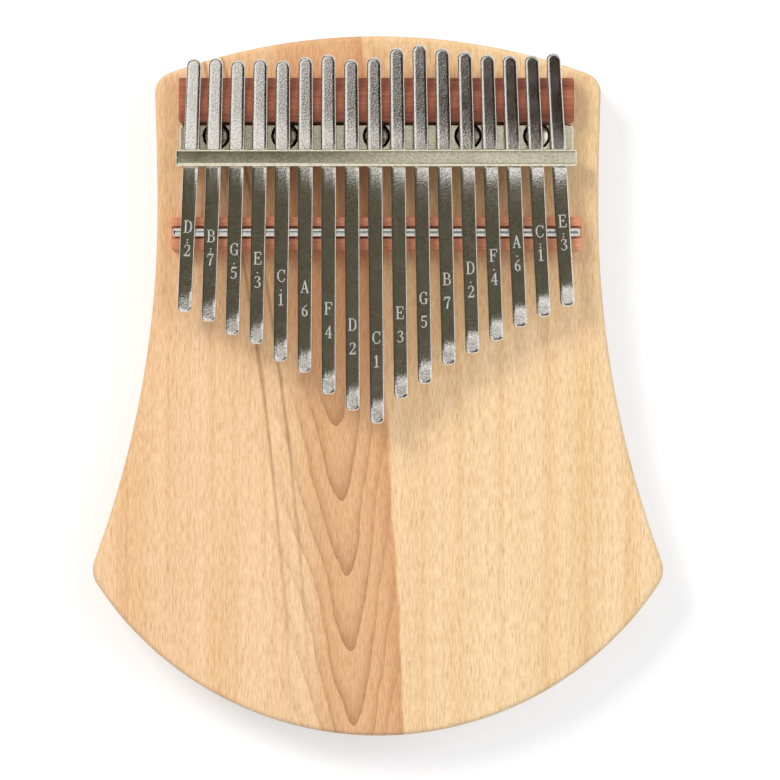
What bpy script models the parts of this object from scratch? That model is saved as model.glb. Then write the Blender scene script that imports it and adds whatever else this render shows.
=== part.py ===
"""A 17-note thumb piano (kalimba) on a solid flat board, lying on its back.

The board's back face is the XY plane, +Z comes out of the playing face, and +Y runs from the playing
tips of the tines towards their tails. The origin is under the middle of the board. Every piece is one
named object. Each tine hangs from an empty on the line where it bears on the rod, and rocks about it.
"""

import math

import bmesh
import bpy
from mathutils import Matrix

MM = 0.001

# The board, whose outline is a chain of arcs, the same on both sides of its long middle line.
BOARD_LENGTH = 196.0 * MM
BOARD_THICKNESS = 18.0 * MM
BOARD_EDGE_RADIUS = 1.5 * MM
TOP_ARC_RADIUS = 171.0 * MM
BOTTOM_ARC_RADIUS = 94.2 * MM
WAIST_WIDTH = 123.6 * MM
WAIST_FROM_TOP = 48.8 * MM
UPPER_SIDE_RADIUS = 800.0 * MM
FLARE_RADIUS = 281.0 * MM
TOP_CORNER_RADIUS = 6.0 * MM
BOTTOM_CORNER_RADIUS = 7.5 * MM

# Where the hardware sits: distances down from the board's top, and one small shift to the left.
HARDWARE_SHIFT = -0.4 * MM
RIDGE_FROM_TOP = 18.25 * MM
NIP_FROM_TOP = 34.6 * MM
ROD_FROM_TOP = 55.2 * MM

# The tines are flat spring strips, bowed down between the back bridge and the rod.
TINE_THICKNESS = 1.1 * MM
TINE_WIDTH = 4.3 * MM
TINE_END_WIDTH = 4.0 * MM
TINE_TIP_CORNER = 1.5 * MM
TINE_BOW = 1.3 * MM
TINE_HEIGHT = 8.0 * MM
TINE_PITCH = 6.53 * MM
TINE_SHIFT = -0.65 * MM
TINE_SKEW = 0.50
TINE_FAN = 0.217
TINE_FAN_GROWTH = 0.002
TIP_FLAT = 7.5 * MM
TIP_BEND = 5.0

# Each tine's playing length and tail length in mm, both from the rod, from left to right.
TINE_LENGTHS = (
    (22.4, 48.3),
    (25.0, 48.5),
    (28.7, 47.8),
    (31.2, 48.2),
    (36.1, 47.8),
    (39.2, 48.7),
    (45.2, 49.5),
    (49.7, 48.1),
    (53.3, 48.7),
    (46.4, 51.3),
    (42.3, 52.2),
    (37.0, 51.2),
    (33.9, 50.3),
    (30.4, 49.5),
    (26.6, 49.3),
    (23.7, 49.3),
    (20.8, 49.9),
)

# The back bridge, a wooden strip with a crowned top, and the front bridge, a block with a groove.
BACK_BRIDGE_LENGTH = 110.2 * MM
BACK_BRIDGE_DEPTH = 12.3 * MM
BACK_BRIDGE_CROWN_RADIUS = 14.0 * MM
FRONT_BRIDGE_LENGTH = 114.4 * MM
FRONT_BRIDGE_DEPTH = 9.2 * MM
FRONT_BRIDGE_HEIGHT = 6.5 * MM
FRONT_BRIDGE_BEHIND = 4.3 * MM
BRIDGE_EDGE = 0.5 * MM

# The rod that lies in the front bridge's groove.
ROD_LENGTH = 113.6 * MM
ROD_DIAMETER = 2.8 * MM
ROD_END_ROUND = 0.8 * MM

# The cast bracket: a screwed flange, a wall with a window for each tine, and the bar on top of it.
FLANGE_LENGTH = 110.2 * MM
FLANGE_THICKNESS = 1.8 * MM
FLANGE_BACK_FROM_NIP = 9.8 * MM
FLANGE_CORNER = 1.5 * MM
FLANGE_RIM = 0.4 * MM
WALL_DEPTH = 3.0 * MM
BAR_LENGTH = 111.4 * MM
BAR_DEPTH = 4.6 * MM
BAR_HEIGHT = 3.4 * MM
BAR_BEVEL = 1.1 * MM
BAR_DOME = 0.3 * MM
BAR_EDGE = 0.3 * MM
WINDOW_SIDE_GAP = 0.4 * MM
WINDOW_FLOOR_GAP = 0.6 * MM
PLUCK_ROOM = 0.75 * MM

# The five oval-head wood screws, in countersinks a little wider than their heads.
SCREW_INNER = 25.6 * MM
SCREW_OUTER = 44.8 * MM
SCREWS_FROM_NIP = 6.5 * MM
SCREW_HEAD_DIAMETER = 6.2 * MM
SCREW_HEAD_DOME = 1.2 * MM
SCREW_SHANK_DIAMETER = 2.8 * MM
SCREW_LENGTH = 14.0 * MM
SCREW_POINT = 2.2 * MM
SCREW_RECESS_WIDTH = 3.2 * MM
SCREW_RECESS_SLOT = 0.8 * MM
SCREW_RECESS_DEPTH = 0.9 * MM
SCREW_RECESS_TURN = 17.0
COUNTERSINK_DIAMETER = 7.8 * MM

# Clearances, and how finely curves are cut into straight steps.
GAP = 0.3 * MM
RIDGE_GAP = 0.45 * MM
CHORD_TOLERANCE = 0.06 * MM
BOW_STEPS = 5
TIP_BEND_STEPS = 3
BOARD_EDGE_STEPS = 3
TURNED_STEPS = 16
SHARP_ANGLE = math.radians(30)
FLAT_ANGLE = math.radians(0.05)
WELD_DISTANCE = 0.001 * MM

# Heights and places that follow from the sizes above.
FACE = BOARD_THICKNESS
SEAT = FACE + GAP
TINE_SEAT = FACE + TINE_HEIGHT
ROD_RADIUS = ROD_DIAMETER / 2
ROD_Y = BOARD_LENGTH / 2 - ROD_FROM_TOP
ROD_Z = TINE_SEAT - GAP - ROD_RADIUS
NIP_Y = BOARD_LENGTH / 2 - NIP_FROM_TOP
RIDGE_Y = BOARD_LENGTH / 2 - RIDGE_FROM_TOP
RIDGE_TOP = TINE_SEAT - RIDGE_GAP
FLANGE_TOP = SEAT + FLANGE_THICKNESS
SCREW_Y = NIP_Y + SCREWS_FROM_NIP
SCREW_TIP = FLANGE_TOP - SCREW_LENGTH
WINDOW_FLOOR = TINE_SEAT - TINE_BOW - WINDOW_FLOOR_GAP
WINDOW_ROOF = TINE_SEAT - TINE_BOW + TINE_THICKNESS + PLUCK_ROOM
SCREW_PLACES = (-SCREW_OUTER, -SCREW_INNER, 0.0, SCREW_INNER, SCREW_OUTER)
SIDE_VIEW = Matrix(((0, 0, 1, 0), (1, 0, 0, 0), (0, 1, 0, 0), (0, 0, 0, 1)))


def clear_scene():
    """Removes whatever the scene holds."""
    for thing in list(bpy.data.objects):
        bpy.data.objects.remove(thing, do_unlink=True)


def make_collection(name):
    """A new collection in the scene."""
    collection = bpy.data.collections.new(name)
    bpy.context.scene.collection.children.link(collection)
    return collection


def make_finish(name, colour, metallic, roughness):
    """A material of one colour, given as linear red, green and blue."""
    material = bpy.data.materials.new(name)
    material.use_nodes = True
    shader = material.node_tree.nodes["Principled BSDF"]
    shader.inputs["Base Color"].default_value = (*colour, 1.0)
    shader.inputs["Metallic"].default_value = metallic
    shader.inputs["Roughness"].default_value = roughness
    return material


def polar(centre, radius, angle):
    """The point at this distance and angle from the centre."""
    return (centre[0] + radius * math.cos(angle), centre[1] + radius * math.sin(angle))


def direction(start, end):
    """The angle of the way from one point to another, within half a turn each way."""
    return math.atan2(end[1] - start[1], end[0] - start[0])


def arc(centre, radius, start, end):
    """Points from the start angle to the end angle, close enough that the chords stay on the arc."""
    turn = end - start
    finest = 2 * math.acos(1 - min(0.5, CHORD_TOLERANCE / radius))
    steps = max(2, math.ceil(abs(turn) / finest))
    return [polar(centre, radius, start + turn * i / steps) for i in range(steps + 1)]


def crossings(first, first_radius, second, second_radius):
    """The two points where two circles cross, the lower one first."""
    across = (second[0] - first[0], second[1] - first[1])
    distance = math.hypot(*across)
    along = (distance**2 + first_radius**2 - second_radius**2) / (2 * distance)
    aside = math.sqrt(first_radius**2 - along**2)
    unit = (across[0] / distance, across[1] / distance)
    foot = (first[0] + unit[0] * along, first[1] + unit[1] * along)
    points = [(foot[0] - unit[1] * side, foot[1] + unit[0] * side) for side in (aside, -aside)]
    return sorted(points, key=lambda point: point[1])


def corner_centres(end_centre, end_radius, side_centre, side_radius, corner):
    """The centres, lower first, of a corner that touches a rounded end inside and a hollow side outside."""
    return crossings(end_centre, end_radius - corner, side_centre, side_radius + corner)


def without_repeats(points):
    """The points in order, leaving out one that repeats the point before it."""
    kept = []
    for point in points:
        if not kept or math.dist(point, kept[-1]) > WELD_DISTANCE:
            kept.append(point)
    return kept


def board_outline():
    """The board's edge: top arc, corner, near-straight upper side, hollow flare, corner, bottom arc."""
    top_centre = (0.0, BOARD_LENGTH / 2 - TOP_ARC_RADIUS)
    bottom_centre = (0.0, BOTTOM_ARC_RADIUS - BOARD_LENGTH / 2)
    waist_y = BOARD_LENGTH / 2 - WAIST_FROM_TOP
    side_centre = (WAIST_WIDTH / 2 + UPPER_SIDE_RADIUS, waist_y)
    flare_centre = (WAIST_WIDTH / 2 + FLARE_RADIUS, waist_y)
    top_corner = corner_centres(
        top_centre, TOP_ARC_RADIUS, side_centre, UPPER_SIDE_RADIUS, TOP_CORNER_RADIUS
    )[1]
    bottom_corner = corner_centres(
        bottom_centre, BOTTOM_ARC_RADIUS, flare_centre, FLARE_RADIUS, BOTTOM_CORNER_RADIUS
    )[0]
    top_end = direction(top_centre, top_corner)
    side_start = direction(top_corner, side_centre)
    flare_end = direction(bottom_corner, flare_centre)
    bottom_start = direction(bottom_centre, bottom_corner)
    right = arc(top_centre, TOP_ARC_RADIUS, math.pi / 2, top_end)
    right += arc(top_corner, TOP_CORNER_RADIUS, top_end, side_start)
    right += arc(side_centre, UPPER_SIDE_RADIUS, side_start + math.pi, math.pi)
    right += arc(flare_centre, FLARE_RADIUS, math.pi, flare_end + math.pi)
    right += arc(bottom_corner, BOTTOM_CORNER_RADIUS, flare_end, bottom_start)
    right += arc(bottom_centre, BOTTOM_ARC_RADIUS, bottom_start, -math.pi / 2)
    right = without_repeats(right)
    left = [(-x, y) for x, y in reversed(right[1:-1])]
    return right + left


def rounded_rectangle(width, height, corner):
    """A rectangle about the origin with round corners."""
    across = width / 2 - corner
    up = height / 2 - corner
    points = []
    for quarter, (x, y) in enumerate(((across, up), (-across, up), (-across, -up), (across, -up))):
        points += arc((x, y), corner, quarter * math.pi / 2, (quarter + 1) * math.pi / 2)
    return without_repeats(points)


def weld(mesh):
    """Joins the loose caps of a curve's mesh to its sides, and makes each flat face one face."""
    shape = bmesh.new()
    shape.from_mesh(mesh)
    bmesh.ops.remove_doubles(shape, verts=shape.verts, dist=WELD_DISTANCE)
    bmesh.ops.dissolve_limit(
        shape, angle_limit=FLAT_ANGLE, verts=shape.verts, edges=shape.edges, use_dissolve_boundaries=False
    )
    bmesh.ops.recalc_face_normals(shape, faces=shape.faces)
    shape.to_mesh(mesh)
    shape.free()


def solid_outline(name, points, depth, collection, turned=None):
    """A solid with this outline, reaching half its depth to each side of the outline's plane."""
    curve = bpy.data.curves.new(name, "CURVE")
    curve.dimensions = "2D"
    curve.fill_mode = "BOTH"
    curve.extrude = depth / 2
    spline = curve.splines.new("POLY")
    spline.points.add(len(points) - 1)
    for target, (x, y) in zip(spline.points, points):
        target.co = (x, y, 0.0, 1.0)
    spline.use_cyclic_u = True
    flat = bpy.data.objects.new(name + "_outline", curve)
    collection.objects.link(flat)
    graph = bpy.context.evaluated_depsgraph_get()
    mesh = bpy.data.meshes.new_from_object(flat.evaluated_get(graph))
    bpy.data.objects.remove(flat, do_unlink=True)
    weld(mesh)
    if turned:
        mesh.transform(turned)
    mesh.name = name
    solid = bpy.data.objects.new(name, mesh)
    collection.objects.link(solid)
    return solid


def turned_solid(name, profile, collection):
    """A solid turned about Z from a profile of radius and height that runs from the top down."""
    mesh = bpy.data.meshes.new(name)
    edges = [(i, i + 1) for i in range(len(profile) - 1)]
    mesh.from_pydata([(radius, 0.0, height) for radius, height in profile], edges, [])
    solid = bpy.data.objects.new(name, mesh)
    collection.objects.link(solid)
    screw = solid.modifiers.new("Turn", "SCREW")
    screw.steps = TURNED_STEPS
    screw.render_steps = TURNED_STEPS
    screw.use_merge_vertices = True
    screw.merge_threshold = WELD_DISTANCE
    return solid


def box(name, size, collection):
    """A box about its own middle."""
    bpy.ops.mesh.primitive_cube_add(size=1.0)
    solid = bpy.context.active_object
    solid.name = name
    solid.data.name = name
    solid.data.transform(Matrix.Diagonal((*size, 1.0)))
    for holder in list(solid.users_collection):
        holder.objects.unlink(solid)
    collection.objects.link(solid)
    return solid


def cone_frustum(name, top_radius, bottom_radius, height, collection):
    """A closed cone frustum that hangs down from its origin."""
    bpy.ops.mesh.primitive_cone_add(
        vertices=TURNED_STEPS,
        radius1=bottom_radius,
        radius2=top_radius,
        depth=height,
        end_fill_type="NGON",
    )
    solid = bpy.context.active_object
    solid.name = name
    solid.data.name = name
    solid.data.transform(Matrix.Translation((0.0, 0.0, -height / 2)))
    for holder in list(solid.users_collection):
        holder.objects.unlink(solid)
    collection.objects.link(solid)
    return solid


def add_bevel(solid, width, segments):
    """Rounds the sharp edges."""
    bevel = solid.modifiers.new("Edges", "BEVEL")
    bevel.width = width
    bevel.segments = segments
    bevel.limit_method = "ANGLE"
    bevel.angle_limit = SHARP_ANGLE
    bevel.use_clamp_overlap = True


def add_boolean(solid, operation, other):
    """Cuts, joins or trims the solid with another, which becomes a hidden helper."""
    boolean = solid.modifiers.new(operation.title() + " " + other.name, "BOOLEAN")
    boolean.operation = operation
    boolean.object = other
    boolean.solver = "EXACT"
    hide_helper(other)


def hide_helper(helper):
    """Shows a helper as wire only, and keeps it out of a render."""
    helper.hide_render = True
    helper.display_type = "WIRE"


def finish_piece(solid, material, smooth=True):
    """Gives the piece its material and its shading."""
    solid.data.materials.clear()
    solid.data.materials.append(material)
    if smooth:
        solid.data.shade_smooth()
        solid.data.set_sharp_from_angle(angle=SHARP_ANGLE)


def tine_angle(step):
    """A tine's turn in plan, in degrees, for its number of steps from the middle tine."""
    return TINE_SKEW + TINE_FAN * step + TINE_FAN_GROWTH * step**3


def tine_height(y):
    """The underside's height over the supports, at a distance behind the rod (a minus is in front).

    Between the supports the strip is a beam that the bar presses down. Outside them it runs on straight.
    """
    front_arm = NIP_Y - ROD_Y
    back_arm = RIDGE_Y - NIP_Y
    span = front_arm + back_arm
    front_slope = TINE_BOW * (span + back_arm) / (2 * front_arm * back_arm)
    back_slope = TINE_BOW * (span + front_arm) / (2 * front_arm * back_arm)
    if y <= 0:
        return -front_slope * y
    if y >= span:
        return back_slope * (y - span)
    if y <= front_arm:
        return -TINE_BOW * y * (span**2 - back_arm**2 - y**2) / (2 * front_arm**2 * back_arm)
    rest = span - y
    return -TINE_BOW * rest * (span**2 - front_arm**2 - rest**2) / (2 * back_arm**2 * front_arm)


def tine_side(playing, tail):
    """A tine's side view as a closed outline of distance behind the rod and height."""
    front_arm = NIP_Y - ROD_Y
    back_arm = RIDGE_Y - NIP_Y
    overrun = TINE_WIDTH / 2
    places = [tail + overrun, front_arm + back_arm]
    places += [front_arm + back_arm * (1 - i / BOW_STEPS) for i in range(1, BOW_STEPS)]
    places += [front_arm * (1 - i / BOW_STEPS) for i in range(BOW_STEPS + 1)]
    places += [TIP_FLAT - playing]
    underside = [(y, tine_height(y)) for y in places]
    y, z = underside[-1]
    slope = tine_height(-1.0)
    fall = math.tan(math.radians(TIP_BEND))
    bend_length = TIP_FLAT / 2
    step = bend_length / TIP_BEND_STEPS
    for i in range(TIP_BEND_STEPS):
        y -= step
        z += (slope - fall * (i + 0.5) / TIP_BEND_STEPS) * step
        underside.append((y, z))
    run = TIP_FLAT - bend_length + overrun
    underside.append((y - run, z + (slope - fall) * run))
    topside = []
    for i, (y, z) in enumerate(underside):
        before = underside[max(i - 1, 0)]
        after = underside[min(i + 1, len(underside) - 1)]
        lean = math.atan2(after[1] - before[1], before[0] - after[0])
        topside.append((y + TINE_THICKNESS * math.sin(lean), z + TINE_THICKNESS * math.cos(lean)))
    return underside + topside[::-1]


def tine_plan(playing, tail):
    """A tine's plan: a full round tail, widest under the bar, and a tip with two round corners."""
    end = TINE_END_WIDTH / 2
    wide = TINE_WIDTH / 2
    nip = NIP_Y - ROD_Y
    corner = TINE_TIP_CORNER
    points = arc((0.0, tail - end), end, 0.0, math.pi)
    points.append((-wide, nip))
    points += arc((corner - end, corner - playing), corner, math.pi, 1.5 * math.pi)
    points += arc((end - corner, corner - playing), corner, 1.5 * math.pi, 2 * math.pi)
    points.append((wide, nip))
    return without_repeats(points)


def make_board(parts, cutters, material):
    """The solid board, with a blind hole for each screw."""
    board = solid_outline("board", board_outline(), BOARD_THICKNESS, parts)
    board.location.z = BOARD_THICKNESS / 2
    add_bevel(board, BOARD_EDGE_RADIUS, BOARD_EDGE_STEPS)
    mouth = FACE + GAP
    depth = mouth - SCREW_TIP + GAP
    radius = SCREW_SHANK_DIAMETER / 2 + GAP
    for number, x in enumerate(SCREW_PLACES, 1):
        hole = cone_frustum(f"board_hole_{number}", radius, radius, depth, cutters)
        hole.location = (HARDWARE_SHIFT + x, SCREW_Y, mouth)
        add_boolean(board, "DIFFERENCE", hole)
    finish_piece(board, material)


def make_back_bridge(parts, material):
    """The strip under the tines' tails: straight sides and a crown along its middle."""
    half = BACK_BRIDGE_DEPTH / 2
    lean = math.asin(half / BACK_BRIDGE_CROWN_RADIUS)
    middle = (RIDGE_Y, RIDGE_TOP - BACK_BRIDGE_CROWN_RADIUS)
    outline = [(RIDGE_Y - half, SEAT), (RIDGE_Y + half, SEAT)]
    outline += arc(middle, BACK_BRIDGE_CROWN_RADIUS, math.pi / 2 - lean, math.pi / 2 + lean)
    bridge = solid_outline("back_bridge", outline, BACK_BRIDGE_LENGTH, parts, SIDE_VIEW)
    bridge.location.x = HARDWARE_SHIFT
    add_bevel(bridge, BRIDGE_EDGE, 1)
    finish_piece(bridge, material)


def make_front_bridge(parts, material):
    """The block under the playing side, with the groove that holds the rod."""
    back = ROD_Y + FRONT_BRIDGE_BEHIND
    front = back - FRONT_BRIDGE_DEPTH
    top = FACE + FRONT_BRIDGE_HEIGHT
    groove = ROD_RADIUS + GAP
    outline = [(front, SEAT), (back, SEAT), (back, top)]
    outline += [(ROD_Y + groove, top)]
    outline += arc((ROD_Y, ROD_Z), groove, 0.0, -math.pi)
    outline += [(ROD_Y - groove, top), (front, top)]
    bridge = solid_outline("front_bridge", outline, FRONT_BRIDGE_LENGTH, parts, SIDE_VIEW)
    bridge.location.x = HARDWARE_SHIFT
    finish_piece(bridge, material)


def make_rod(parts, material):
    """The round steel rod with rounded ends, turned about its length."""
    half = ROD_LENGTH / 2
    ends = arc((ROD_RADIUS - ROD_END_ROUND, half - ROD_END_ROUND), ROD_END_ROUND, math.pi / 2, 0.0)
    profile = [(0.0, half)] + ends
    profile += [(radius, -height) for radius, height in reversed(profile)]
    rod = turned_solid("front_rod", profile, parts)
    rod.rotation_euler.y = math.pi / 2
    rod.location = (HARDWARE_SHIFT, ROD_Y, ROD_Z)
    finish_piece(rod, material)


def make_bracket(parts, cutters, places, material):
    """The cast bracket: a flange, a windowed wall and the bar that holds the tines down."""
    front = NIP_Y - WALL_DEPTH / 2
    flange_depth = FLANGE_BACK_FROM_NIP + WALL_DEPTH / 2
    flange_outline = rounded_rectangle(FLANGE_LENGTH, flange_depth, FLANGE_CORNER)
    bracket = solid_outline("clamp_bracket", flange_outline, FLANGE_THICKNESS, parts)
    bracket.location = (HARDWARE_SHIFT, front + flange_depth / 2, SEAT + FLANGE_THICKNESS / 2)
    add_bevel(bracket, FLANGE_RIM, 1)

    half = BAR_DEPTH / 2
    wall = WALL_DEPTH / 2
    step = half - wall
    bar_top = WINDOW_ROOF + BAR_HEIGHT
    shoulder = bar_top - BAR_DOME - BAR_BEVEL
    bar_outline = [(-wall, SEAT + GAP), (wall, SEAT + GAP), (wall, WINDOW_ROOF), (half, WINDOW_ROOF + step)]
    bar_outline += [(half, shoulder), (half - BAR_BEVEL, bar_top - BAR_DOME), (0.0, bar_top)]
    bar_outline += [(BAR_BEVEL - half, bar_top - BAR_DOME), (-half, shoulder)]
    bar_outline += [(-half, WINDOW_ROOF + step), (-wall, WINDOW_ROOF)]
    bar = solid_outline("bracket_bar", bar_outline, BAR_LENGTH, cutters, SIDE_VIEW)
    bar.location = (HARDWARE_SHIFT, NIP_Y, 0.0)
    add_bevel(bar, BAR_EDGE, 1)
    add_boolean(bracket, "UNION", bar)

    for number, (x, angle) in enumerate(places, 1):
        size = (TINE_WIDTH + 2 * WINDOW_SIDE_GAP, 2 * BAR_DEPTH, WINDOW_ROOF - WINDOW_FLOOR)
        window = box(f"window_{number:02d}", size, cutters)
        reach = NIP_Y - ROD_Y
        window.location = (x - math.tan(angle) * reach, NIP_Y, (WINDOW_ROOF + WINDOW_FLOOR) / 2)
        window.rotation_euler.z = angle
        add_boolean(bracket, "DIFFERENCE", window)

    mouth = COUNTERSINK_DIAMETER / 2 + GAP
    depth = FLANGE_THICKNESS + 2 * GAP
    for number, x in enumerate(SCREW_PLACES, 1):
        sink = cone_frustum(f"countersink_{number}", mouth, mouth - depth, depth, cutters)
        sink.location = (HARDWARE_SHIFT + x, SCREW_Y, FLANGE_TOP + GAP)
        add_boolean(bracket, "DIFFERENCE", sink)
    finish_piece(bracket, material)


def make_screws(parts, cutters, material):
    """Five oval-head wood screws with cross recesses, each lying 0.3 mm clear of its countersink."""
    head = SCREW_HEAD_DIAMETER / 2
    shank = SCREW_SHANK_DIAMETER / 2
    cone_edge = COUNTERSINK_DIAMETER / 2 - GAP * math.sqrt(2)
    rim = head - cone_edge
    neck = shank - cone_edge
    dome_radius = (head**2 + (SCREW_HEAD_DOME - rim) ** 2) / (2 * (SCREW_HEAD_DOME - rim))
    dome_centre = (0.0, SCREW_HEAD_DOME - dome_radius)
    dome = arc(dome_centre, dome_radius, math.pi / 2, math.asin((rim - dome_centre[1]) / dome_radius))
    profile = dome + [(shank, neck), (shank, SCREW_POINT - SCREW_LENGTH), (0.0, -SCREW_LENGTH)]
    for number, x in enumerate(SCREW_PLACES, 1):
        screw = turned_solid(f"bracket_screw_{number}", profile, parts)
        screw.location = (HARDWARE_SHIFT + x, SCREW_Y, FLANGE_TOP)
        for quarter in (0, 1):
            size = (SCREW_RECESS_WIDTH, SCREW_RECESS_SLOT, 2 * SCREW_RECESS_DEPTH)
            slot = box(f"recess_{number}_{quarter + 1}", size, cutters)
            slot.location = (HARDWARE_SHIFT + x, SCREW_Y, FLANGE_TOP + SCREW_HEAD_DOME)
            slot.rotation_euler.z = quarter * math.pi / 2 + math.radians(SCREW_RECESS_TURN * number)
            add_boolean(screw, "DIFFERENCE", slot)
        finish_piece(screw, material)


def tine_places():
    """Each tine's place along the rod and its turn in plan, in radians, from left to right."""
    middle = (len(TINE_LENGTHS) - 1) / 2
    steps = [number - middle for number in range(len(TINE_LENGTHS))]
    return [(TINE_SHIFT + TINE_PITCH * step, math.radians(tine_angle(step))) for step in steps]


def make_tines(parts, cutters, places, material):
    """The tines: a bowed side view as wide as the tine, trimmed to its plan."""
    for number, ((x, angle), lengths) in enumerate(zip(places, TINE_LENGTHS), 1):
        playing, tail = (length * MM for length in lengths)
        name = f"tine_{number:02d}"
        axle = bpy.data.objects.new(name + "_rocking_line", None)
        axle.location = (x, ROD_Y, TINE_SEAT)
        parts.objects.link(axle)
        tine = solid_outline(name, tine_side(playing, tail), 2 * TINE_WIDTH, parts, SIDE_VIEW)
        tine.parent = axle
        tine.rotation_euler.z = angle
        plan = solid_outline(name + "_plan", tine_plan(playing, tail), 4 * TINE_HEIGHT, cutters)
        plan.parent = axle
        plan.rotation_euler.z = angle
        add_boolean(tine, "INTERSECT", plan)
        finish_piece(tine, material)


def main():
    """Builds every piece."""
    clear_scene()
    parts = make_collection("kalimba")
    cutters = make_collection("cutters")
    places = tine_places()
    make_board(parts, cutters, make_finish("board_wood", (0.83, 0.55, 0.31), 0.0, 0.5))
    make_back_bridge(parts, make_finish("back_bridge_wood", (0.36, 0.10, 0.06), 0.0, 0.55))
    make_front_bridge(parts, make_finish("front_bridge_wood", (0.69, 0.26, 0.14), 0.0, 0.55))
    make_rod(parts, make_finish("rod_steel", (0.62, 0.62, 0.60), 1.0, 0.2))
    make_bracket(parts, cutters, places, make_finish("bracket_nickel", (0.66, 0.65, 0.60), 1.0, 0.18))
    make_screws(parts, cutters, make_finish("screw_nickel", (0.68, 0.67, 0.64), 1.0, 0.2))
    make_tines(parts, cutters, places, make_finish("tine_steel", (0.55, 0.55, 0.52), 1.0, 0.25))


main()
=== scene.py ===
"""Looks of a 17-note thumb piano (kalimba) around its frame: wood, plated steel and etched note marks."""

import logging
import math
from dataclasses import dataclass
from enum import Enum

import bpy
import numpy as np
from bpy.types import Material, Node, NodeSocket, NodeTree, Object
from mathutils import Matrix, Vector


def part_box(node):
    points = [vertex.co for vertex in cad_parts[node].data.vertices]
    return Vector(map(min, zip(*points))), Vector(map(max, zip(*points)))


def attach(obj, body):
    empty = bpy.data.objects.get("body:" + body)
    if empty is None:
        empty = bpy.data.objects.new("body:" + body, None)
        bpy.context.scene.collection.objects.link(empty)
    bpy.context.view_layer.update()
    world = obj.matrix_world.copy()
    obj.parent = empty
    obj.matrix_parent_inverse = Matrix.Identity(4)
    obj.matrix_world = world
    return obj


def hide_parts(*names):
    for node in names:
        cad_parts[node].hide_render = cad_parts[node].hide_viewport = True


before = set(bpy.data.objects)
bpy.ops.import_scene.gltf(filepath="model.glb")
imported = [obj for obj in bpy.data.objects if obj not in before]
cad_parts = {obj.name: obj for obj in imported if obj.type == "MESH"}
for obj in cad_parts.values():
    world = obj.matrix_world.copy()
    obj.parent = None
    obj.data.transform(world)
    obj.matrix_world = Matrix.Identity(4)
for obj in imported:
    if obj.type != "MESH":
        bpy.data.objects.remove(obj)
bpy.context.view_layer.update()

MM = 0.001
BODY = "frame"
QUARTER = math.pi / 2
SHARP_ANGLE = math.radians(38)
log = logging.getLogger("kalimba")

Point = tuple[float, float, float]
Feed = NodeSocket | Node | float | str | tuple[float, ...]


def box_of(node: str) -> np.ndarray:
    """The lowest and highest corners of a node at rest.

    Args:
        node: the node's name.

    Returns:
        A 2 by 3 array in metres.
    """
    return np.array([list(corner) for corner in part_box(node)], dtype=float)


def linear(code: str) -> tuple[float, float, float, float]:
    """Turns an sRGB hex colour to linear light.

    Args:
        code: six hex digits.

    Returns:
        Red, green, blue and an alpha of one.
    """
    values = np.array([int(code[i : i + 2], 16) for i in (0, 2, 4)]) / 255.0
    light = np.where(values <= 0.04045, values / 12.92, ((values + 0.055) / 1.055) ** 2.4)
    return (float(light[0]), float(light[1]), float(light[2]), 1.0)


def feed(node: Node, values: dict[str, Feed]) -> None:
    """Fills or links a node's input sockets.

    Args:
        node: the node.
        values: for each socket's identifier a value, a hex colour, or what feeds it: an output socket,
            or a node whose first output is meant.
    """
    inputs = {socket.identifier: socket for socket in node.inputs}
    for name, value in values.items():
        if isinstance(value, Node):
            value = value.outputs[0]
        if isinstance(value, NodeSocket):
            node.id_data.links.new(value, inputs[name])
        else:
            inputs[name].default_value = linear(value) if isinstance(value, str) else value


def add_node(tree: NodeTree, kind: str, settings: dict | None = None, *values: Feed, **named: Feed) -> Node:
    """Adds a node with its settings, socket values and incoming links.

    Args:
        tree: the node tree.
        kind: the node's type name without ShaderNode.
        settings: attributes to set on the node. Stops fill a colour ramp with places and hex colours.
        values: what the first inputs take, in order.
        named: what other inputs take, by the socket's identifier.

    Returns:
        The new node.
    """
    node = tree.nodes.new(f"ShaderNode{kind}")
    for name, value in (settings or {}).items():
        if name == "stops":
            for place, _ in value[2:]:
                node.color_ramp.elements.new(place)
            for element, (place, code) in zip(node.color_ramp.elements, value):
                element.position = place
                element.color = linear(code)
        else:
            setattr(node, name, value)
    feed(node, {socket.identifier: value for socket, value in zip(node.inputs, values)} | named)
    return node


# Settings for add_node: what a Math or Mix node does, and the place of a colour among Mix's outputs
TIMES, LESS, OVER = {"operation": "MULTIPLY"}, {"operation": "SUBTRACT"}, {"operation": "DIVIDE"}
TIMES_PLUS, POWER, MOST = {"operation": "MULTIPLY_ADD"}, {"operation": "POWER"}, {"operation": "MAXIMUM"}
PART_OF_ONE, WITHOUT_SIGN = {"operation": "FRACT"}, {"operation": "ABSOLUTE"}
BLEND, TINT = {"data_type": "RGBA"}, {"data_type": "RGBA", "blend_type": "MULTIPLY"}
COLOUR_RESULT = 2


def new_material(name: str) -> tuple[Material, NodeTree, Node]:
    """A material with its shader node.

    Args:
        name: the material's name.

    Returns:
        The material, its tree and its Principled node.
    """
    material = bpy.data.materials.new(name)
    material.use_nodes = True
    tree = material.node_tree
    return material, tree, tree.nodes["Principled BSDF"]


def new_object(name: str, points: np.ndarray, faces: list[list[int]]) -> Object:
    """An object with a mesh of these points and faces.

    Args:
        name: the object's name.
        points: count by 3, in metres.
        faces: the points' numbers, anticlockwise as seen from outside.

    Returns:
        The new object.
    """
    mesh = bpy.data.meshes.new(name)
    mesh.from_pydata(points.tolist(), [], faces)
    mesh.update()
    piece = bpy.data.objects.new(name, mesh)
    bpy.context.scene.collection.objects.link(piece)
    return piece


class Caps(Enum):
    """How the two ends of a skin are closed."""

    POLE = "a fan to the mean point of the ring"
    ZIP = "quads between the two halves of the ring"
    FACE = "one flat face"


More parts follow.
